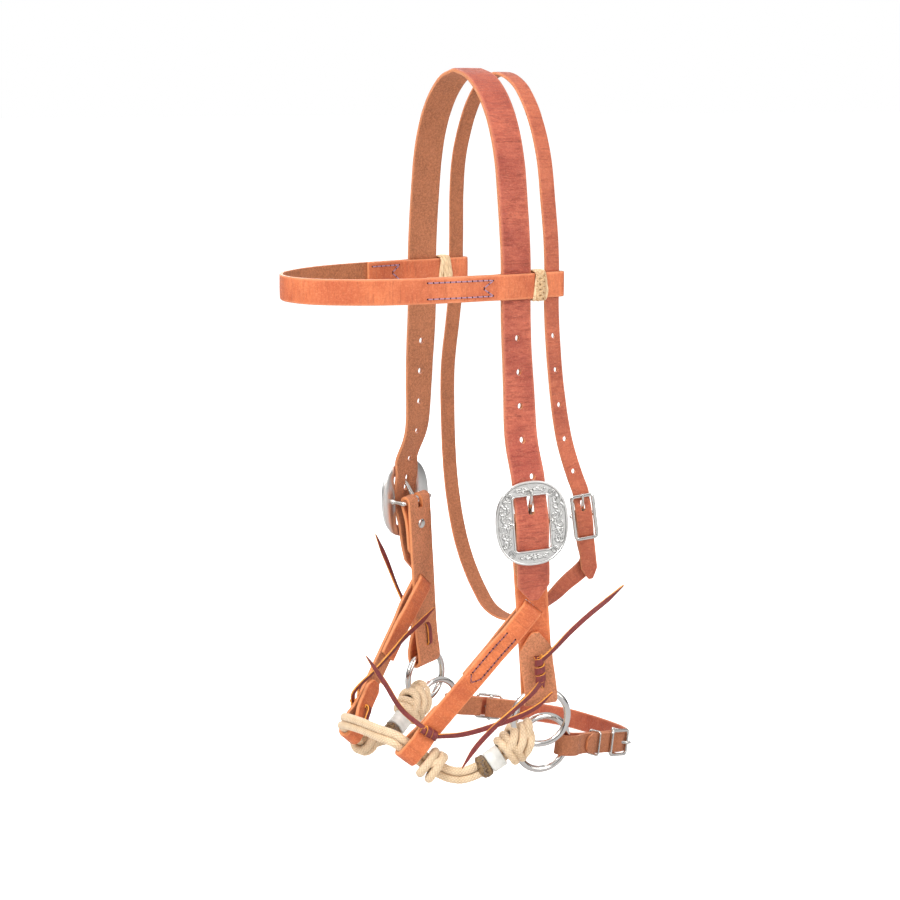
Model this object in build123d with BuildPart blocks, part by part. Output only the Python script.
"""Bitless hackamore (side pull) headstall: leather headstall, twin-rope noseband,
four rings and a buckled curb strap.

Frame, in millimetres: origin at the poll, on the underside of the crown strap's arch,
midway across. +X is the wearer's left (near side), -Y the front (nose), +Z up.
The far side hangs a little lower, because the crown strap has slipped through the
browband loops towards that side.
"""

from build123d import *
import os
from math import copysign, cos, hypot, pi, radians, sin, sqrt

os.makedirs("parts", exist_ok=True)

# ---- driving dimensions ------------------------------------------------------
STRAP_T = 3.2  # main strap leather thickness
BAND_T = 2.8  # browband leather
THIN_T = 2.4  # throatlatch and curb strap leather
CROWN_W = 25.4
BAND_W = 19.0
THROAT_W = 12.7
HANGER_W = 16.5
CURB_W = 15.9
LACE_W, LACE_T = 4.2, 1.9
DROP = 19.0  # how much lower the far side hangs
CHEEK_TURN = radians(18)  # cheek pieces face forward by this much
CROWN_Y = -1.0  # middle of the crown strap's width
BAND_X = 70.0  # middle of the browband's end loops
BAND_Z = -157.0  # browband centre height

# Cheek buckle: an oval plate with a window, in front of a bar
BAR_R = 2.2
PLATE_H, PLATE_W, PLATE_T = 65.0, 56.0, 2.5
WINDOW_H, WINDOW_W = 42.0, 27.0
PLATE_OUT = 10.3  # back of the plate, outward from the bar
POST_ACROSS = 15.3  # each post's middle, from the plate's middle

RING_R, WIRE_R = 21.65, 2.6  # ring centre-line radius, wire radius
ROPE_R = 3.25  # each noseband rope
KNOT_BACK = 20.0  # nose knot's middle, back along the ropes from the hanger's middle
HOLE_R = 2.3  # crown adjusting holes
HOLE_PITCH = 25.4
CROWN_HOLE_Z = -195.5  # top adjusting hole, near side
TONGUE_PLAY = 0.08  # between a tongue's eye and its bar
TONGUE_EYE = 1.7  # wall of a tongue's eye

# Heights along the cheek piece, from its buckle bar
RIVET_ALONG = -20.0
LACE_ALONG = (-109.0, -127.0)  # the two lace slots
FOLD_ALONG = -147.0  # outside of the ring fold
RING_ALONG = -157.8  # cheek ring centre
SLIT = (-4.0, -1.0, -71.0)  # noseband hanger's slit: out, across, along

# Noseband hanger
HANGER_END = {1: Vector(45, -84, -519), -1: Vector(-45, -86, -532)}
DRIFT_FROM, DRIFT_POWER = 24, 1.15  # where it starts to curve sideways, and how sharply
HANGER_LACE_BACK = 29  # its lace slot, back from its lower end


# ---- vector and path helpers -------------------------------------------------
def unit(vector):
    vector = Vector(*vector)
    return vector / vector.length


def square_to(vector, axis):
    """Unit vector nearest the given one that is square to a unit axis."""
    return unit(vector - axis * vector.dot(axis))


def tangent(points, i):
    """Direction of a run of points at one of them."""
    return unit(points[min(i + 1, len(points) - 1)] - points[max(i - 1, 0)])


def clamp01(value):
    return min(1.0, max(0.0, value))


def blend_across(share, across):
    """Width direction between straight back and the given direction."""
    return unit(Vector(0, 1, 0) * (1 - share) + across * share)


def catmull(points, step):
    """Points along a smooth curve through the given points, about one step apart."""
    points = [tuple(float(c) for c in p) for p in points]
    first = tuple(2 * a - b for a, b in zip(points[0], points[1]))
    last = tuple(2 * a - b for a, b in zip(points[-1], points[-2]))
    padded = [first, *points, last]
    curve = []
    for i in range(1, len(padded) - 2):
        p0, p1, p2, p3 = padded[i - 1 : i + 3]
        spans = []
        for a, b in ((p0, p1), (p1, p2), (p2, p3)):
            spans.append(max(sqrt(sum((x - y) ** 2 for x, y in zip(a, b))), 1e-6) ** 0.5)
        k0, k1, k2 = spans
        count = max(1, round(k1**2 / step))
        for j in range(count):
            u = j / count
            point = []
            for a, b, c, d in zip(p0, p1, p2, p3):
                start = ((b - a) / k0 - (c - a) / (k0 + k1) + (c - b) / k1) * k1
                end = ((c - b) / k1 - (d - b) / (k1 + k2) + (d - c) / k2) * k1
                cubic = 2 * b - 2 * c + start + end
                square = -3 * b + 3 * c - 2 * start - end
                point.append(cubic * u**3 + square * u**2 + start * u + b)
            curve.append(tuple(point))
    curve.append(points[-1])
    return curve


def arc_points(x, y, radius, start, end, count):
    """Points on an arc in a profile's own plane, angles in degrees."""
    angles = [radians(start + (end - start) * i / count) for i in range(count + 1)]
    return [(x + radius * cos(a), y + radius * sin(a)) for a in angles]


def mirrored(points):
    """The same points in reverse, on the other side of the profile's x axis."""
    return [(x, -y) for x, y in reversed(points)]


def strap_sketch(path, thickness):
    """Adds a strap's closed profile, centred on its path, to the sketch being built."""
    left, right = [], []
    for i, (x, y) in enumerate(path):
        a, b = path[max(i - 1, 0)], path[min(i + 1, len(path) - 1)]
        dx, dy = b[0] - a[0], b[1] - a[1]
        length = hypot(dx, dy)
        nx, ny = -dy / length * thickness / 2, dx / length * thickness / 2
        left.append((x + nx, y + ny))
        right.append((x - nx, y - ny))
    # this block stands alone, so its edges are handed over by name
    with BuildLine() as edge:
        Polyline(*left, *reversed(right), close=True)
    make_face(edge.edges())


def strap_section(point, across, along, width, thickness):
    with BuildSketch(Plane(origin=point, x_dir=across, z_dir=along)) as section:
        Rectangle(width, thickness)
    return section.sketch.face()


def loft_strap(stations, width, thickness):
    """Lofts a rectangular section through stations of (point, width direction)."""
    points = [point for point, _ in stations]
    sections = []
    for i, (point, across) in enumerate(stations):
        along = tangent(points, i)
        across = square_to(across, along)
        sections.append(strap_section(point, across, along, width, thickness))
    loft(sections, ruled=True)


def loft_lace_tail(points, width, out):
    """Lofts a lace's free end, its flat side facing out and its tip narrowed."""
    points = [Vector(*p) for p in catmull(points, 5.0)]
    shares = [1.0] * (len(points) - 2) + [0.75, 0.4]
    sections = []
    for i, (point, share) in enumerate(zip(points, shares)):
        along = tangent(points, i)
        across = square_to(out, along).cross(along)
        sections.append(strap_section(point, across, along, width * share, LACE_T))
    loft(sections, ruled=True)


def save(builder, name):
    builder.part.label = name
    export_step(builder.part, f"parts/{name}.step")


# ---- frames ------------------------------------------------------------------
class Frame:
    """A local frame: outward, across the strap, and along it."""

    def __init__(self, origin, out, across, along):
        self.origin, self.out, self.across, self.along = origin, out, across, along

    def at(self, out=0.0, across=0.0, along=0.0):
        return self.origin + self.out * out + self.across * across + self.along * along

    def profile(self, *place):
        """Sketch plane with out as its x and along as its y."""
        z_dir = self.out.cross(self.along)
        return Plane(origin=self.at(*place), x_dir=self.out, z_dir=z_dir)

    def face(self, *place):
        """Sketch plane with across as its x and along as its y."""
        z_dir = self.across.cross(self.along)
        return Plane(origin=self.at(*place), x_dir=self.across, z_dir=z_dir)

    def bar_end(self, *place):
        """Sketch plane looking along the across direction."""
        return Plane(origin=self.at(*place), x_dir=self.out, z_dir=self.across)

    def outward(self, *place):
        """Sketch plane looking outward, with across as its x."""
        return Plane(origin=self.at(*place), x_dir=self.across, z_dir=self.out)


class Hanger(Frame):
    """Noseband hanger's frame, from its slit in the cheek; along runs down the hanger."""

    def __init__(self, cheek):
        origin = cheek.at(*SLIT)
        delta = HANGER_END[cheek.sign] - origin
        end_out = delta.dot(cheek.out)
        flat = delta - cheek.out * end_out
        self.length = flat.length
        down = unit(flat)
        super().__init__(origin, cheek.out, down.cross(cheek.out), down)
        self.front = self.across * cheek.sign
        self.rate = end_out / (self.length - DRIFT_FROM) ** DRIFT_POWER

        # where the ropes' middle lies in the hanger's fold, and the hanger's slope there
        distance = self.length - ROPE_R - 0.35 - STRAP_T / 2 - ROPE_R + 0.1
        self.rope_at = self.point(distance)
        slope = DRIFT_POWER * self.rate * (distance - DRIFT_FROM) ** (DRIFT_POWER - 1)
        self.rope_down = unit(down + self.out * slope)

    def drift(self, distance):
        return self.rate * max(0.0, distance - DRIFT_FROM) ** DRIFT_POWER

    def point(self, distance):
        """Middle of the hanger at a distance down it."""
        return self.origin + self.along * distance + self.out * self.drift(distance)


class Cheek(Frame):
    """One side's frame at its cheek buckle bar: out, across rearward, along up."""

    def __init__(self, name, sign):
        self.name, self.sign = name, sign
        origin = Vector(sign * 86.0, 1.0, -332.0 - (DROP if sign < 0 else 0))
        up = unit((-0.021 * sign, -0.069, 0.997))
        out = square_to(Vector(sign * cos(CHEEK_TURN), -sin(CHEEK_TURN), 0), up)
        super().__init__(origin, out, up.cross(out) * sign, up)

        rein_turn = radians(8)
        self.ring_at = self.at(0.0, 0.0, RING_ALONG)
        self.rein_at = self.ring_at + Vector(-sign * 7.5, 7.0, -24.5)
        self.rein_axis = Vector(sign * cos(rein_turn), -sin(rein_turn), 0)
        self.rings = ((self.ring_at, self.out), (self.rein_at, self.rein_axis))

        # where the curb strap's loop holds the rein ring's wire
        back = Vector(sign * sin(rein_turn), cos(rein_turn), 0)
        low = radians(12.5)
        self.curb_at = (
            self.rein_at + back * (RING_R * cos(low)) + Vector(0, 0, -RING_R * sin(low))
        )

        # where the ropes wrap the two rings, and the way they leave forwards
        self.knot_at = (
            self.ring_at * 0.5 + self.rein_at * 0.5 + Vector(-sign * 4.0, -18.4, -8.2)
        )
        self.knot_along = unit((-sign * 0.26, -0.81, -0.52))
        self.hanger = Hanger(self)


NEAR, FAR = Cheek("left", 1), Cheek("right", -1)
CHEEKS = (NEAR, FAR)

# ---- crown strap -------------------------------------------------------------
# Path from the arch down to each buckle: x outward, z
ARCH = [
    (0, 1.6), (19, -3.6), (35, -15.5), (46.5, -30), (55, -47.5), (61, -68), (65, -94),
    (68.6, -124), (70, -143), (70, -171), (71.2, -195), (75, -235),
]
ARCH_END = {1: [(79, -272)], -1: [(76.0, -250), (80.5, -290)]}
# Behind the plate's top rim, out through the window, behind its bottom rim: out, along
THROUGH = [
    (8.1, 33.5), (8.1, 27.5), (8.15, 22.5), (9.6, 16.0), (11.8, 8.5), (12.6, 0),
    (11.7, -8.5), (9.5, -16.0), (8.1, -22.5), (7.7, -28.5), (6.2, -40), (3.7, -52),
    (3.2, -62.0),
]
CROWN_TURN_Z = -200.0  # below this the crown turns to face as the cheek does


def crown_half(cheek):
    """Stations of one half of the crown, from its arch down to its tip."""
    path = [(cheek.sign * x, CROWN_Y, z) for x, z in ARCH + ARCH_END[cheek.sign]]
    path += [cheek.at(out, 0, along) for out, along in THROUGH]
    buckle_z = cheek.origin.Z + 40
    stations = []
    for p in catmull(path, 9.0):
        u = clamp01((CROWN_TURN_Z - p[2]) / (CROWN_TURN_Z - buckle_z))
        u = u * u * (3 - 2 * u)
        stations.append((Vector(*p), blend_across(u, cheek.across)))
    return stations


def crown_strap():
    near_half, far_half = crown_half(NEAR), crown_half(FAR)
    with BuildPart() as part:
        loft_strap(list(reversed(near_half)) + far_half[1:], CROWN_W, STRAP_T)
        for cheek in CHEEKS:
            # pointed tip
            for k in (1, -1):
                with BuildSketch(cheek.face(-6, 0, -62.5)):
                    with BuildLine():
                        Polyline((k * 3.0, -2), (k * 14.5, 9.5), (k * 14.5, -2), close=True)
                    make_face()
                extrude(amount=20, dir=cheek.out, mode=Mode.SUBTRACT)
            # slot the tongue passes through
            with BuildSketch(cheek.face(4, 0, 13.5)):
                SlotOverall(15.0, 5.2, rotation=90)
            extrude(amount=16, dir=cheek.out, mode=Mode.SUBTRACT)
        # adjusting holes above each buckle
        for cheek, half, top in (
            (NEAR, near_half, CROWN_HOLE_Z),
            (FAR, far_half, CROWN_HOLE_Z - DROP),
        ):
            for i in range(5):
                z = top - HOLE_PITCH * i
                point = min(half, key=lambda station: abs(station[0].Z - z))[0]
                start = (point.X - cheek.sign * 12, CROWN_Y, z)
                with BuildSketch(Plane(origin=start, x_dir=(0, 1, 0), z_dir=(cheek.sign, 0, 0))):
                    Circle(HOLE_R)
                extrude(amount=24, mode=Mode.SUBTRACT)
    save(part, "crown_strap")


crown_strap()

# ---- browband: one strap, folded back at each end into a double loop ---------
# Each end loop, from its rear end forward: y, half the gap between its two layers
BAND_GAP = [
    (34.0, 2.85), (26.5, 2.85), (24.6, 2.85), (23.4, 2.3), (22.2, 1.6), (21.0, 1.45),
    (17.5, 1.45), (15.0, 1.45), (13.7, 1.6), (12.8, 2.6), (11.9, 3.5), (9.5, 3.75),
    (-6.0, 3.7), (-13.9, 3.35), (-16.5, 2.3), (-19.0, 1.6),
]
# From the loop to the middle of the brow, and along the turned-in end: x outward, y
BAND_OUTER = [
    (71.45, -21.0), (70.4, -30.0), (68.5, -50.0), (64.6, -75.0), (57.2, -103.0),
    (43.5, -128.0), (24.0, -148.0), (0.0, -155.0),
]
BAND_INNER = [(68.5, -21.0), (67.5, -30.0), (65.6, -50.0), (61.8, -72.0)]


def band_half(sign):
    """One half of the browband's path, from its inner end to the brow."""
    inner = [(BAND_X - gap, y) for y, gap in BAND_GAP] + BAND_INNER
    turn = arc_points(BAND_X, 37.5, 2.85, 180, 0, 8)
    outer = [(BAND_X + gap, y) for y, gap in BAND_GAP] + BAND_OUTER
    return [(sign * x, y) for x, y in list(reversed(inner)) + turn + outer]


def browband():
    near, far = band_half(1), list(reversed(band_half(-1)))
    with BuildPart() as part:
        with BuildSketch(Plane.XY.offset(BAND_Z - BAND_W / 2)):
            strap_sketch(catmull(near + far[1:], 3.0), BAND_T)
        extrude(amount=BAND_W)
    save(part, "browband")


def rawhide_tie(cheek):
    """Square band round both layers of the browband's end loop."""
    start = (cheek.sign * BAND_X, 13.8, BAND_Z)
    with BuildPart() as part:
        with BuildSketch(Plane(origin=start, x_dir=(1, 0, 0), z_dir=(0, 1, 0))):
            RectangleRounded(11.0, 24.0, 2.2)
            RectangleRounded(7.5, 19.6, 0.8, mode=Mode.SUBTRACT)
        extrude(amount=8.3)
    save(part, f"rawhide_tie_{cheek.name}")


browband()
for cheek in CHEEKS:
    rawhide_tie(cheek)


# ---- buckles and tongues -----------------------------------------------------
def wire_buckle(name, frame, inner_w, height, wire, bar_r, rim_out):
    """A rectangular wire buckle, with its bar at the frame's origin, behind the rim."""
    half_w = inner_w / 2 + wire / 2
    with BuildPart() as part:
        with BuildSketch(frame.face(rim_out - wire / 2, 0, 0)):
            RectangleRounded(2 * half_w + wire, height, 2.6)
            RectangleRounded(inner_w, height - 2 * wire, 1.0, mode=Mode.SUBTRACT)
        extrude(amount=wire, dir=frame.out)
        # posts from the rim's sides back to the bar
        for k in (1, -1):
            with BuildSketch(frame.profile(0, k * half_w - wire / 2, 0)):
                with Locations((rim_out / 2 - bar_r / 2, 0)):
                    Rectangle(rim_out + bar_r, 2 * bar_r)
            extrude(amount=wire, dir=frame.across)
        with BuildSketch(frame.bar_end(0, -half_w, 0)):
            Circle(bar_r)
        extrude(amount=2 * half_w, dir=frame.across)
    save(part, name)


def tongue(name, frame, bar_r, width, thickness, path):
    """A buckle tongue: an eye round the bar and a shank lying on the rim."""
    with BuildPart() as part:
        with BuildSketch(frame.profile(0, -width / 2, 0)):
            Circle(bar_r + TONGUE_PLAY + TONGUE_EYE)
            strap_sketch(path, thickness)
            Circle(bar_r + TONGUE_PLAY, mode=Mode.SUBTRACT)
        extrude(amount=width, dir=frame.across)
    save(part, name)


# ---- throatlatch -------------------------------------------------------------
throat_up = unit((-0.05, -0.12, 0.99))
throat_out = square_to(unit((0.93, -0.36, 0.0)), throat_up)
# Frame at the throatlatch buckle's bar
THROAT = Frame(
    Vector(89.0, 48.5, -333.5), throat_out, throat_up.cross(throat_out), throat_up
)
THROAT_BAR_R = 1.9
THROAT_FOLD_R = 3.4  # strap's middle round the bar

# Lap up to the bar, and the strap leaving it downwards: out, along
THROAT_LAP = [(1.35, -25), (2.4, -15), (3.4, -7)]
THROAT_LEAVE = [(-3.4, -8), (-1.6, -22), (-1.3, -38)]
# Under the jaw, up the far side, over the poll and down the near side: x, y, z
THROAT_RUN = [
    (83.5, 37.5, -388), (75, 29.5, -401), (62, 26, -412), (48, 26, -421), (30, 26, -428),
    (12, 26, -430.5), (-8, 25.5, -427), (-24, 25.5, -416), (-38, 25.5, -402),
    (-52, 25.5, -382), (-63, 26, -358), (-71, 26, -325), (-75.5, 26.5, -285),
    (-76.5, 27, -240), (-72.5, 29.6, -197), (-70, 31.0, -171), (-70, 31.0, -143),
    (-69.0, 30.6, -123), (-67, 29.6, -95), (-63, 29.3, -68), (-54, 29.3, -44),
    (-42, 29.3, -24), (-25, 29.3, -8), (0, 29.3, -0.8), (24, 29.3, -8), (41, 29.3, -24),
    (53.0, 29.3, -44), (61.5, 29.3, -67), (66, 29.6, -95), (69.0, 30.6, -123),
    (70, 31.0, -143), (70, 31.0, -171), (72.5, 30.8, -197), (77.5, 31.5, -235),
    (82.0, 36.0, -275), (88.5, 41.5, -302),
]
# Down through the buckle to the tip: out, along
THROAT_THROUGH = [
    (4.8, 19.5), (4.85, 15.5), (7.0, 8), (7.8, 0), (7.0, -8), (4.9, -15.5), (4.5, -22),
    (3.6, -36), (3.4, -50),
]
THROAT_HOLE_Z = (-195.8, -221.3, -247.9, -274.1, -298.7)


def throat_stations():
    fold = arc_points(0, 0, THROAT_FOLD_R, 0, 180, 6)
    path = [THROAT.at(out, 0, along) for out, along in THROAT_LAP + fold + THROAT_LEAVE]
    path += THROAT_RUN
    path += [THROAT.at(out, 0, along) for out, along in THROAT_THROUGH]
    stations = []
    for x, y, z in catmull(path, 7.5):
        # the width runs straight back, but turns to match the buckle near it
        if x <= 0:
            share = 0.0
        elif z < -360:
            share = clamp01((x - 45) / 38)
        else:
            share = clamp01((-z - 230) / 80)
        stations.append((Vector(x, y, z), blend_across(share, THROAT.across)))
    return stations


def throatlatch_strap():
    stations = throat_stations()
    near_points = [point for point, _ in stations if point.X > 0]
    with BuildPart() as part:
        loft_strap(stations, THROAT_W, THIN_T)
        # tongue slots: in the fold round the bar, and in the free end
        with BuildSketch(THROAT.face(-8, 0, 2.5)):
            Rectangle(3.6, 11)
        extrude(amount=14, dir=THROAT.out, mode=Mode.SUBTRACT)
        with BuildSketch(THROAT.face(2, 0, 8.2)):
            SlotOverall(12.0, 3.6, rotation=90)
        extrude(amount=14, dir=THROAT.out, mode=Mode.SUBTRACT)
        # pointed free end
        for k in (1, -1):
            with BuildSketch(THROAT.face(1.5, 0, -50.5)):
                with BuildLine():
                    Polyline((k * 2.0, -1.5), (k * 7.5, 6.0), (k * 7.5, -1.5), close=True)
                make_face()
            extrude(amount=6, dir=THROAT.out, mode=Mode.SUBTRACT)
        # adjusting holes
        for z in THROAT_HOLE_Z:
            point = min(near_points, key=lambda p: abs(p.Z - z))
            start = (point.X - 10, point.Y, z)
            with BuildSketch(Plane(origin=start, x_dir=(0, 1, 0), z_dir=(1, 0, 0))):
                Circle(1.8)
            extrude(amount=20, mode=Mode.SUBTRACT)
    save(part, "throatlatch_strap")


throatlatch_strap()
wire_buckle(
    "throatlatch_buckle", THROAT, inner_w=THROAT_W + 1.2, height=36.0, wire=2.6,
    bar_r=THROAT_BAR_R, rim_out=7.6,
)
THROAT_TONGUE = [(2.2, 1.6), (5.4, 6.5), (8.3, 11.5), (10.1, 15.0), (10.3, 18.4)]
tongue(
    "throatlatch_tongue", THROAT, bar_r=THROAT_BAR_R, width=2.6, thickness=2.0,
    path=catmull(THROAT_TONGUE, 2.0),
)

# ---- cheek pieces ------------------------------------------------------------
# Strap path in order, leaving out the arcs over the bar and under the ring: out, along
CHEEK_TOP_LAP = [(-0.55, -54), (-0.55, -30), (0.6, -16), (3.6, -5)]
CHEEK_MAIN = [(-4.0, -6), (-4.0, -60), (-4.0, -104), (-4.5, -122), (-5.8, -134)]
CHEEK_RING_LAP = [(5.9, -133), (2.8, -122), (-0.1, -114), (-0.65, -104), (-0.65, -90)]
CHEEK_BAR_FOLD, CHEEK_RING_FOLD = 4.0, 6.0  # radii of the arcs
# Corners cut from the lap tips: out, along, near and far edge of the cut from there
CHEEK_TIPS = ((-2.3, -90.0, 1.0, -11.0), (-2.15, -54.0, -1.0, 13.0))
RIVET_R = 1.6
CHEEK_TONGUE = [(2.6, 2.4), (7.4, 9.6), (12.0, 16.0), (14.7, 20.6), (14.45, 25.6)]


def cheek_strap(cheek):
    """Laps outside the bar, over it, down inside, round the ring and up outside."""
    ring_fold_along = FOLD_ALONG + STRAP_T / 2 + CHEEK_RING_FOLD
    path = (
        catmull(CHEEK_TOP_LAP, 4.0)
        + arc_points(0, 0, CHEEK_BAR_FOLD, 0, 180, 8)
        + catmull(CHEEK_MAIN, 6.0)
        + arc_points(0, ring_fold_along, CHEEK_RING_FOLD, 180, 360, 14)
        + catmull(CHEEK_RING_LAP, 4.0)
    )
    hanger = cheek.hanger
    with BuildPart() as part:
        with BuildSketch(cheek.profile()):
            strap_sketch(path, STRAP_T)
        extrude(amount=CROWN_W / 2, both=True)
        # tongue slot over the bar
        with BuildSketch(cheek.face(-9, 0, 1.5)):
            Rectangle(6.4, 16)
        extrude(amount=20, dir=cheek.out, mode=Mode.SUBTRACT)
        # rivet hole
        with BuildSketch(cheek.face(-12, 0, RIVET_ALONG)):
            Circle(RIVET_R + 0.02)
        extrude(amount=20, dir=cheek.out, mode=Mode.SUBTRACT)
        # slit the noseband hanger threads through
        with BuildSketch(hanger.outward(-6)):
            with Locations((0, -0.85)):
                Rectangle(HANGER_W + 1.4, 5.0)
        extrude(amount=12, dir=cheek.out, mode=Mode.SUBTRACT)
        # lace slots through both layers above the ring
        for along in LACE_ALONG:
            with BuildSketch(cheek.face(-12, 0, along)):
                Rectangle(5.4, 3.0)
            extrude(amount=20, dir=cheek.out, mode=Mode.SUBTRACT)
        # pointed tips of the two laps
        for k in (1, -1):
            for out, along, y0, y1 in CHEEK_TIPS:
                with BuildSketch(cheek.face(out, 0, along)):
                    with BuildLine():
                        Polyline((k * 2.0, y0), (k * 14.0, y0), (k * 14.0, y1), close=True)
                    make_face()
                extrude(amount=6, dir=cheek.out, mode=Mode.SUBTRACT)
    save(part, f"cheek_{cheek.name}")


def cheek_buckle(cheek):
    """Cart buckle: oval plate with a window, two posts and a bar behind it."""
    power = 2 / 2.35  # a little squarer than an ellipse
    outline = []
    for i in range(24):
        c, s = cos(2 * pi * i / 24), sin(2 * pi * i / 24)
        x = PLATE_W / 2 * copysign(abs(c) ** power, c)
        y = PLATE_H / 2 * copysign(abs(s) ** power, s)
        outline.append((x, y))
    with BuildPart() as part:
        with BuildSketch(cheek.face(PLATE_OUT, 0, 0)):
            with BuildLine():
                Spline(*outline, periodic=True)
            make_face()
            RectangleRounded(WINDOW_W, WINDOW_H, 2.2, mode=Mode.SUBTRACT)
        extrude(amount=PLATE_T, dir=cheek.out)
        for k in (1, -1):
            with BuildSketch(cheek.face(-BAR_R, k * POST_ACROSS, 0)):
                Rectangle(3.4, 5.0)
            extrude(amount=PLATE_OUT + 2.6, dir=cheek.out)
        with BuildSketch(cheek.bar_end(0, -POST_ACROSS, 0)):
            Circle(BAR_R)
        extrude(amount=2 * POST_ACROSS, dir=cheek.across)
    save(part, f"cheek_buckle_{cheek.name}")


def cheek_rivet(cheek):
    """Rivet clenched through both layers below the bar."""
    inner_out, length = -5.72, 7.9
    with BuildPart() as part:
        with BuildSketch(cheek.outward(inner_out, 0, RIVET_ALONG)):
            Circle(RIVET_R)
        extrude(amount=length, dir=cheek.out)
        with BuildSketch(cheek.outward(inner_out, 0, RIVET_ALONG)):
            Circle(4.2)
        extrude(amount=-1.4, taper=25)
        with BuildSketch(cheek.outward(inner_out + length, 0, RIVET_ALONG)):
            Circle(3.6)
        extrude(amount=1.0)
    save(part, f"cheek_rivet_{cheek.name}")


def ring_plane(centre, axis):
    """Plane that cuts a ring's wire square, its origin at the ring's centre."""
    x_dir = Vector(0, 0, 1).cross(axis)
    return Plane(origin=centre, x_dir=x_dir, z_dir=x_dir.cross(axis))


def ring(name, centre, axis):
    with BuildPart() as part:
        with BuildSketch(ring_plane(centre, axis)):
            with Locations((RING_R, 0)):
                Circle(WIRE_R)
        revolve(axis=Axis(centre, axis))
    save(part, name)


# ---- noseband hangers --------------------------------------------------------
BEND_R = 3.35  # strap's middle, where it bends through the slit
LEG_OUT = 1.75  # each layer's middle, out from the hanger's, where they lie together
# Outer layer from the slit down to where the layers meet: distance down, out
HANGER_BEND = [
    (2.0, BEND_R), (14, BEND_R), (24, BEND_R), (30, 3.2), (36, 2.5), (43, 1.85),
    (50, LEG_OUT),
]


def noseband_hanger(cheek):
    """Threads through the slit, lies doubled, then folds round the ropes."""
    hanger = cheek.hanger
    end = hanger.length
    fold_r = ROPE_R + 0.5 + STRAP_T / 2
    lap = [(72, -LEG_OUT), (60, -LEG_OUT)] + mirrored(HANGER_BEND)
    rope_leg = [
        (end - 36, LEG_OUT), (end - 31, 1.9), (end - 25, 2.7), (end - 18, fold_r - 0.3),
        (end - 14, fold_r), (end - fold_r, fold_r),
    ]
    path = (
        catmull(lap, 5.0)[:-1]
        + arc_points(2.0, 0, BEND_R, 270, 90, 8)
        + catmull(HANGER_BEND + [(100, LEG_OUT)] + rope_leg, 4.0)[1:-1]
        + arc_points(end - fold_r, 0, fold_r, 90, -90, 8)
        + catmull(mirrored(rope_leg) + [(end - 52, -LEG_OUT)], 4.0)[1:]
    )
    path = [(distance, out + hanger.drift(distance)) for distance, out in path]
    lace_at = hanger.point(end - HANGER_LACE_BACK) - hanger.out * 12
    with BuildPart() as part:
        with BuildSketch(Plane(origin=hanger.origin, x_dir=hanger.along, z_dir=hanger.across)):
            strap_sketch(path, STRAP_T)
        extrude(amount=HANGER_W / 2, both=True)
        # slot for the tie lace above the rope fold
        with BuildSketch(Plane(origin=lace_at, x_dir=hanger.across, z_dir=hanger.out)):
            Rectangle(5.0, 4.0)
        extrude(amount=24, dir=hanger.out, mode=Mode.SUBTRACT)
    save(part, f"noseband_hanger_{cheek.name}")


for cheek in CHEEKS:
    cheek_strap(cheek)
    cheek_buckle(cheek)
    tongue(
        f"cheek_tongue_{cheek.name}", cheek, bar_r=BAR_R, width=4.2, thickness=2.9,
        path=catmull(CHEEK_TONGUE, 3.0),
    )
    cheek_rivet(cheek)
    ring(f"cheek_ring_{cheek.name}", cheek.ring_at, cheek.out)
    ring(f"rein_ring_{cheek.name}", cheek.rein_at, cheek.rein_axis)
    noseband_hanger(cheek)

# ---- curb strap under the chin -----------------------------------------------
# It lies in one plane, set by the two loops on the rein rings and its rearmost point.
curb_span = NEAR.curb_at - FAR.curb_at
CURB_MID = (NEAR.curb_at + FAR.curb_at) * 0.5
CURB_HALF = curb_span.length / 2
curb_rear = Vector(0, 130, -548) - CURB_MID
CURB_X = unit(curb_span)
CURB_Y = square_to(curb_rear, CURB_X)
CURB_Z = CURB_X.cross(CURB_Y)
CURB_PLANE = Plane(origin=CURB_MID - CURB_Z * (CURB_W / 2), x_dir=CURB_X, z_dir=CURB_Z)
REAR_Y = curb_rear.dot(CURB_Y)
LEAN = radians(20)  # each side's strap closes in towards the rear by this much
HALF_T = THIN_T / 2
LOOP_R = WIRE_R + 2.6 + HALF_T  # strap's middle round the ring wire
CURB_BAR_R = 1.6
BAR_FOLD_R = CURB_BAR_R + 0.15 + HALF_T  # strap's middle round a buckle bar
NEAR_BAR, FAR_BAR = 64.0, 31.0  # buckle bars, back from each ring loop
# Slots: start and end outward, length, width
FOLD_SLOT = (-8, 8, 11.0, 4.2)
TONGUE_SLOT = (1.0, 9, 8.5, 3.4)

# The side paths below are back along the side's strap, outward from it.
RING_LOOP = [(5.0, -LOOP_R)] + arc_points(-3.0, 0, LOOP_R, 270, 90, 6) + [(5.0, LOOP_R)]
NEAR_LAP = [
    (38, -HALF_T - 0.1), (28, -HALF_T - 0.15), (21, -HALF_T - 0.6), (13, -3.3),
]
NEAR_LEG = [
    (13, 3.3), (21, HALF_T + 0.6), (28, HALF_T + 0.15), (36, HALF_T + 0.1),
    (44, HALF_T + 0.1),
]
FAR_LAP = [(22, -HALF_T - 0.2), (18, -HALF_T - 0.7), (12, -3.3)]
FAR_TIP = [(48, 4.1), (56, 4.0), (64, 4.1), (72, 4.3)]
CURB_TIP = [(22, 4.3), (28, 4.1), (36, 4.0), (44, 4.0)]
CURB_FAR_LEG = [(64, HALF_T + 0.05), (58, HALF_T + 0.1), (50, HALF_T + 0.1)]
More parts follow.
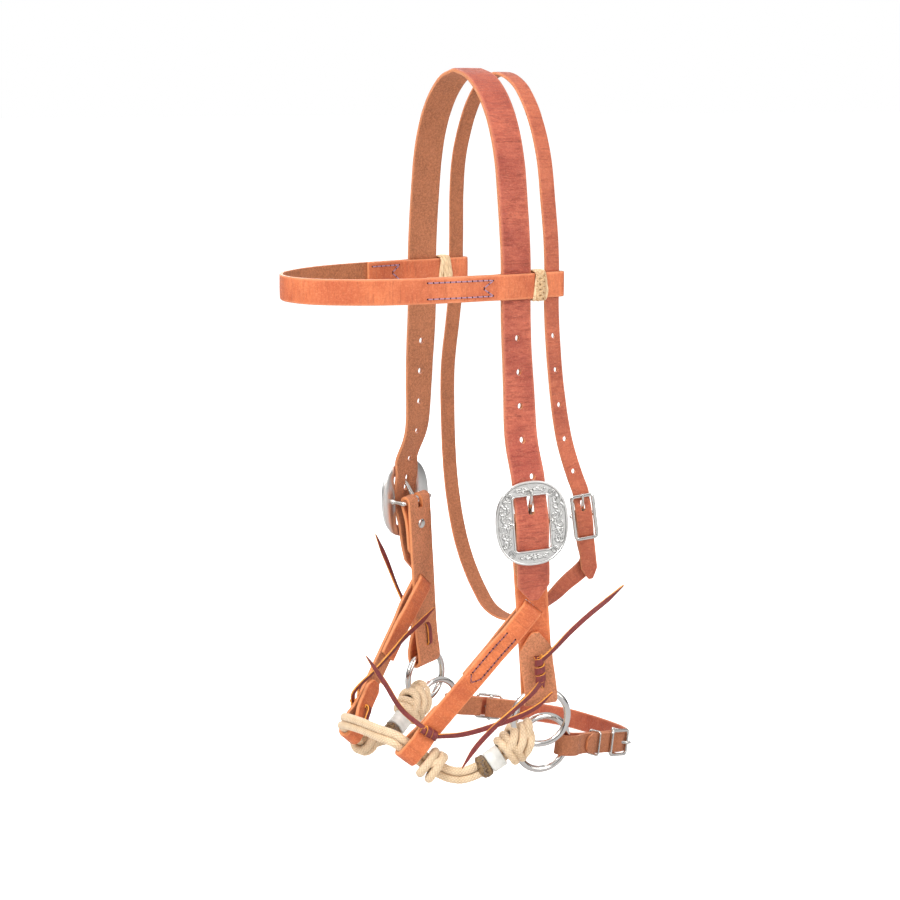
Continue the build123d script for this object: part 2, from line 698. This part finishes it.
# Middle of the curb strap, near side to far side: x, y in the curb plane
CURB_MIDDLE = [
    (60.3, 76.5), (53.0, 82.8), (41.0, 88.0), (24.0, REAR_Y - 1.0), (0, REAR_Y),
    (-20.0, REAR_Y - 0.9), (-37.0, 88.0), (-49.5, 81.0), (-58.0, 72.0),
]
CURB_TONGUE = [(1.9, 1.4), (5.3, 4.4), (8.5, 7.2), (9.75, 9.3), (9.4, 12.6)]


def curb_points(sign, path):
    """A side path's points, in the curb plane."""
    return [
        (
            sign * (CURB_HALF - back * sin(LEAN) + out * cos(LEAN)),
            back * cos(LEAN) + out * sin(LEAN),
        )
        for back, out in path
    ]


def curb_frame(sign, back, direction=1):
    """Frame on a side's strap; along runs back, or forward for direction -1."""
    x, y = curb_points(sign, [(back, 0)])[0]
    out = CURB_X * (sign * cos(LEAN)) + CURB_Y * sin(LEAN)
    along = (CURB_X * (-sign * sin(LEAN)) + CURB_Y * cos(LEAN)) * direction
    return Frame(CURB_MID + CURB_X * x + CURB_Y * y, out, CURB_Z, along)


def fold_round_bar(bar, toward):
    """Outer layer to a bar, round it and back inside; the strap lies toward that way."""
    return (
        [
            (bar + 11 * toward, HALF_T + 0.35),
            (bar + 7 * toward, 1.8),
            (bar + 3.5 * toward, BAR_FOLD_R - 0.5),
        ]
        + arc_points(bar, 0, BAR_FOLD_R, 90, 90 + 180 * toward, 6)
        + [(bar + 3.5 * toward, -BAR_FOLD_R + 0.5), (bar + 10 * toward, -HALF_T - 0.6)]
    )


def over_bar(bar):
    """A free end bulging outward over a buckle's bar."""
    hump = ((-9.6, 4.4), (-5, 5.4), (0, 5.95), (5, 5.4), (9.6, 4.4))
    return [(bar + back, out) for back, out in hump]


def curb_strip(name, points, slots):
    """A strap in the curb plane; slots are (sign, back, size)."""
    with BuildPart() as part:
        with BuildSketch(CURB_PLANE):
            strap_sketch(catmull(points, 2.5), THIN_T)
        extrude(amount=CURB_W)
        for sign, back, (start, end, length, width) in slots:
            frame = curb_frame(sign, back)
            with BuildSketch(Plane(origin=frame.at(start), x_dir=frame.along, z_dir=frame.out)):
                Rectangle(length, width)
            extrude(amount=end - start, mode=Mode.SUBTRACT)
    save(part, name)


def curb_keeper(name, sign, back):
    """Wire keeper round all three layers."""
    wire, inner_out, inner_across = 1.8, 8.4, CURB_W + 0.8
    frame = curb_frame(sign, back)
    start = frame.at(1.5, 0, -wire / 2)
    with BuildPart() as part:
        with BuildSketch(Plane(origin=start, x_dir=frame.out, z_dir=frame.along)):
            RectangleRounded(inner_out + 2 * wire, inner_across + 2 * wire, 2.6)
            RectangleRounded(inner_out, inner_across, 0.9, mode=Mode.SUBTRACT)
        extrude(amount=wire)
    save(part, name)


# near billet: from inside, round the ring wire, back outside, and over its buckle's bar
near_billet = NEAR_LAP + RING_LOOP + NEAR_LEG + fold_round_bar(NEAR_BAR, -1)
near_billet += [(46, -HALF_T - 0.05), (41, -HALF_T - 0.05)]
curb_strip(
    "curb_billet_left", curb_points(1, near_billet), [(1, NEAR_BAR + 1.0, FOLD_SLOT)]
)
# far billet: its free end runs back over the curb strap's own buckle bar
far_billet = FAR_LAP + RING_LOOP + [(11, 4.6), (16, 4.1)] + over_bar(FAR_BAR) + FAR_TIP
curb_strip(
    "curb_billet_right", curb_points(-1, far_billet), [(-1, FAR_BAR - 5.5, TONGUE_SLOT)]
)
# curb strap: free end over the near buckle, round the chin, folded round the far bar
curb_far_end = CURB_FAR_LEG + fold_round_bar(FAR_BAR, 1)
curb_far_end += [(48, -HALF_T - 0.05), (54, -HALF_T - 0.05)]
curb_strip(
    "curb_strap",
    curb_points(1, CURB_TIP + over_bar(NEAR_BAR)) + CURB_MIDDLE + curb_points(-1, curb_far_end),
    [(1, NEAR_BAR + 5.5, TONGUE_SLOT), (-1, FAR_BAR - 1.0, FOLD_SLOT)],
)

# each side's buckle bar, the way its tongue points, and its keeper's place
for cheek, bar, direction, keeper_back in ((NEAR, NEAR_BAR, 1, 36.0), (FAR, FAR_BAR, -1, 56.0)):
    frame = curb_frame(cheek.sign, bar, direction)
    wire_buckle(
        f"curb_buckle_{cheek.name}", frame, inner_w=CURB_W + 1.2, height=24.0, wire=2.4,
        bar_r=CURB_BAR_R, rim_out=7.15,
    )
    tongue(
        f"curb_tongue_{cheek.name}", frame, bar_r=CURB_BAR_R, width=2.6, thickness=1.8,
        path=catmull(CURB_TONGUE, 2.0),
    )
    curb_keeper(f"curb_keeper_{cheek.name}", cheek.sign, keeper_back)

# ---- twin-rope noseband ------------------------------------------------------
# Over the nose, near side to far side: x, y, z
NOSE_FRONT = [(26, -95.5, -502.5), (0, -98.5, -504.0), (-24, -97.5, -508.5)]


def nose_side(cheek):
    """The ropes' path on one side, from the rings forward through the hanger."""
    hanger = cheek.hanger
    drop = hanger.rope_at.Z - NEAR.hanger.rope_at.Z
    return (
        [cheek.knot_at + cheek.knot_along * d for d in (7.5, 16, 27, 37)]
        + [(cheek.sign * 66.0, -45.0, -533.5 + drop), (cheek.sign * 60.5, -55.0, -531.5 + drop)]
        + [hanger.rope_at + hanger.front * d for d in (-15, -11, 0, 10, 14)]
    )


nose_points = nose_side(NEAR) + NOSE_FRONT + list(reversed(nose_side(FAR)))
ROPE = [Vector(*p) for p in catmull(nose_points, 4.0)]


def rope_axes(i):
    """The ropes' direction at a point, and the way one is stacked on the other."""
    along = tangent(ROPE, i)
    up = Vector(0, 0, 1)
    # the stack lines up with each hanger near it
    for cheek in CHEEKS:
        distance = (ROPE[i] - cheek.hanger.rope_at).length
        share = clamp01(1.6 * (1 - distance / 34.0))
        up = up * (1 - share) - cheek.hanger.rope_down * share
    return along, square_to(up, along)


def noseband_rope():
    # two ropes lying one on the other, merged a little where they touch
    lift = ROPE_R - 0.12
    outline = arc_points(0, lift, ROPE_R, -20, 200, 9)
    outline += arc_points(0, -lift, ROPE_R, 160, 380, 9)
    sections = []
    with BuildPart() as part:
        for i, point in enumerate(ROPE):
            along, up = rope_axes(i)
            with BuildSketch(Plane(origin=point, x_dir=up.cross(along), z_dir=along)) as section:
                with BuildLine():
                    Polyline(*outline, close=True)
                make_face()
            sections.append(section.sketch.face())
        loft(sections, ruled=True)
    save(part, "noseband_rope")


def rope_order(cheek):
    """Indices of the ropes' points, starting from this side's end."""
    order = list(range(len(ROPE)))
    return order if cheek.sign > 0 else order[::-1]


def along_rope(cheek, distance):
    """Position, direction and stacking direction at a distance from this side's end."""
    order = rope_order(cheek)
    run = 0.0
    for i, j in zip(order, order[1:]):
        step = (ROPE[j] - ROPE[i]).length
        if run + step >= distance:
            share = (distance - run) / step
            return ROPE[i] * (1 - share) + ROPE[j] * share, *rope_axes(i)
        run += step


def distance_to_hanger(cheek):
    points = [ROPE[i] for i in rope_order(cheek)]
    nearest = min(
        range(len(points)), key=lambda i: (points[i] - cheek.hanger.rope_at).length
    )
    return sum((points[i + 1] - points[i]).length for i in range(nearest))


def coil_outline(coils, angles):
    """Bulges of wrapped coils, each given as place along, centre radius, own radius."""
    return [
        (radius + coil * sin(radians(a)), place - coil * cos(radians(a)))
        for place, radius, coil in coils
        for a in angles
    ]


def ring_knot(cheek):
    """Four wraps round the rings and the ropes."""
    start, along = cheek.knot_at, cheek.knot_along
    up = square_to(Vector(0, 0, 1), along)
    coils = ((-7.0, 10.6, 3.4), (-0.8, 12.4, 3.5), (5.6, 12.2, 3.5), (11.8, 10.4, 3.3))
    bulges = coil_outline(coils, (38, 65, 90, 115, 142))
    with BuildPart() as part:
        with BuildSketch(Plane(origin=start, x_dir=up, z_dir=up.cross(along))):
            with BuildLine():
                Polyline((0, -10.4), *bulges, (0, 15.2), close=True)
            make_face()
        revolve(axis=Axis(start, along))
        with BuildSketch(Plane(origin=start + along * 3.0, x_dir=up, z_dir=along)):
            SlotOverall(4 * ROPE_R + 0.3, 2 * ROPE_R + 0.3)
        extrude(amount=16, mode=Mode.SUBTRACT)
        for centre, axis in cheek.rings:
            with BuildSketch(ring_plane(centre, axis)):
                with Locations((RING_R, 0)):
                    Circle(WIRE_R + 0.12)
            revolve(axis=Axis(centre, axis), mode=Mode.SUBTRACT)
    save(part, f"ring_knot_{cheek.name}")


def rope_sleeve(name, cheek, start, end, width, play):
    """A straight sleeve round both ropes, between two distances along them."""
    start_at, end_at = along_rope(cheek, start)[0], along_rope(cheek, end)[0]
    axis = unit(end_at - start_at)
    up = square_to(along_rope(cheek, (start + end) / 2)[2], axis)
    with BuildPart() as part:
        with BuildSketch(Plane(origin=start_at, x_dir=up, z_dir=axis)):
            SlotOverall(17.6, width)
            SlotOverall(4 * ROPE_R + play, 2 * ROPE_R + play, mode=Mode.SUBTRACT)
        extrude(amount=(end_at - start_at).length)
    save(part, f"{name}_{cheek.name}")


def nose_knot(cheek):
    """Stopper knot of two coils behind the hanger."""
    middle, along, up = along_rope(cheek, distance_to_hanger(cheek) - KNOT_BACK)
    coils = ((-3.15, 10.4, 3.3), (3.15, 10.4, 3.3))
    bulges = coil_outline(coils, (20, 45, 67, 90, 113, 135, 160))
    with BuildPart() as part:
        with BuildSketch(Plane(origin=middle, x_dir=up, z_dir=up.cross(along))):
            with BuildLine():
                Polyline((0, -6.2), *bulges, (0, 6.2), close=True)
            make_face()
        revolve(axis=Axis(middle, along))
        with BuildSketch(Plane(origin=middle - along * 10, x_dir=up, z_dir=along)):
            SlotOverall(4 * ROPE_R + 3.9, 2 * ROPE_R + 3.9)
        extrude(amount=20, mode=Mode.SUBTRACT)
    save(part, f"nose_knot_{cheek.name}")


noseband_rope()
for cheek in CHEEKS:
    ring_knot(cheek)
    rope_sleeve("rope_whipping", cheek, start=8.3, end=20.3, width=13.5, play=0.4)
    rope_sleeve("rope_end", cheek, start=20.6, end=29.6, width=12.4, play=1.6)
    nose_knot(cheek)

# ---- tie laces ---------------------------------------------------------------
# Two free ends on each side: x, y, z
CHEEK_TAILS = {
    1: [
        [
            (95.5, 6.6, -442.5), (98.8, 16, -434), (102, 31, -420), (104.5, 47, -408),
            (105.5, 62, -399), (105, 77, -390),
        ],
        [
            (99.0, 6.5, -456.5), (102.5, -4, -463), (102.5, -22, -474), (100, -38, -486),
            (97, -52, -500), (95, -62, -514),
        ],
    ],
    -1: [
        [
            (-95.5, 6.6, -461.5), (-100.5, 1, -450), (-105, -6, -432), (-109, -14, -408),
            (-112, -23, -384),
        ],
        [(-99.0, 6.5, -475.5), (-103.0, 9, -484), (-104.5, 12, -493), (-104, 14, -502)],
    ],
}
# The same for the hanger laces, after a start on the lace's knot
HANGER_TAILS = {
    1: [
        [(50, -88, -478), (46, -101, -455), (41, -114, -433)],
        [
            (67, -45, -500), (80, -28, -493), (93, -12, -484), (101, 2, -475),
            (103, 13, -466),
        ],
    ],
    -1: [
        [
            (-55.9, -75.6, -499.5), (-50.8, -71.8, -490.5), (-47.0, -60.8, -480.1),
            (-51.7, -41.7, -468.2), (-59.8, -24.2, -460), (-69.3, -1.5, -451.3),
            (-74.9, 12.4, -444.4),
        ],
        [(-70, -62, -500), (-80, -46, -498), (-88, -34, -503), (-92, -26, -512)],
    ],
}
TAIL_STARTS = (4, -4)  # towards the front from the hanger lace's middle


def cheek_lace(cheek):
    """Roll outside the cheek, two legs through it, a bridge inside and two tails."""
    leg_w, leg_h = 4.6, 2.2
    top, bottom = LACE_ALONG
    roll_axis = cheek.along * 22.5 - cheek.out * 4.8
    roll_at = cheek.at(11.6, 0, -129.5)
    with BuildPart() as part:
        with BuildSketch(Plane(origin=roll_at, x_dir=cheek.across, z_dir=roll_axis)):
            Circle(4.1)
        extrude(amount=23.0)
        for along in LACE_ALONG:
            with BuildSketch(cheek.face(-9.0, 0, along)):
                Rectangle(leg_w, leg_h)
            extrude(amount=17.5, dir=cheek.out)
        with BuildSketch(cheek.face(-9.2, 0, (top + bottom) / 2)):
            Rectangle(leg_w, top - bottom + leg_h)
        extrude(amount=LACE_T, dir=cheek.out)
        for points in CHEEK_TAILS[cheek.sign]:
            loft_lace_tail(points, LACE_W, cheek.out)
    save(part, f"cheek_lace_{cheek.name}")


def hanger_lace(cheek):
    """Roll outside the hanger, a leg through it, a pad inside and two tails."""
    hanger = cheek.hanger
    middle = hanger.point(hanger.length - HANGER_LACE_BACK)
    frame = Frame(middle, hanger.out, hanger.front, hanger.along)
    with BuildPart() as part:
        with BuildSketch(frame.bar_end(7.6, -6.5, 0)):
            Circle(3.7)
        extrude(amount=13.0)
        with BuildSketch(frame.outward(-6.6)):
            Rectangle(4.4, 2.2)
        extrude(amount=13.0)
        with BuildSketch(frame.outward(-8.0)):
            Rectangle(6.4, 4.6)
        extrude(amount=LACE_T)
        for start, points in zip(TAIL_STARTS, HANGER_TAILS[cheek.sign]):
            loft_lace_tail([frame.at(7.5, start), *points], LACE_W * 0.9, cheek.out)
    save(part, f"hanger_lace_{cheek.name}")


for cheek in CHEEKS:
    cheek_lace(cheek)
    hanger_lace(cheek)
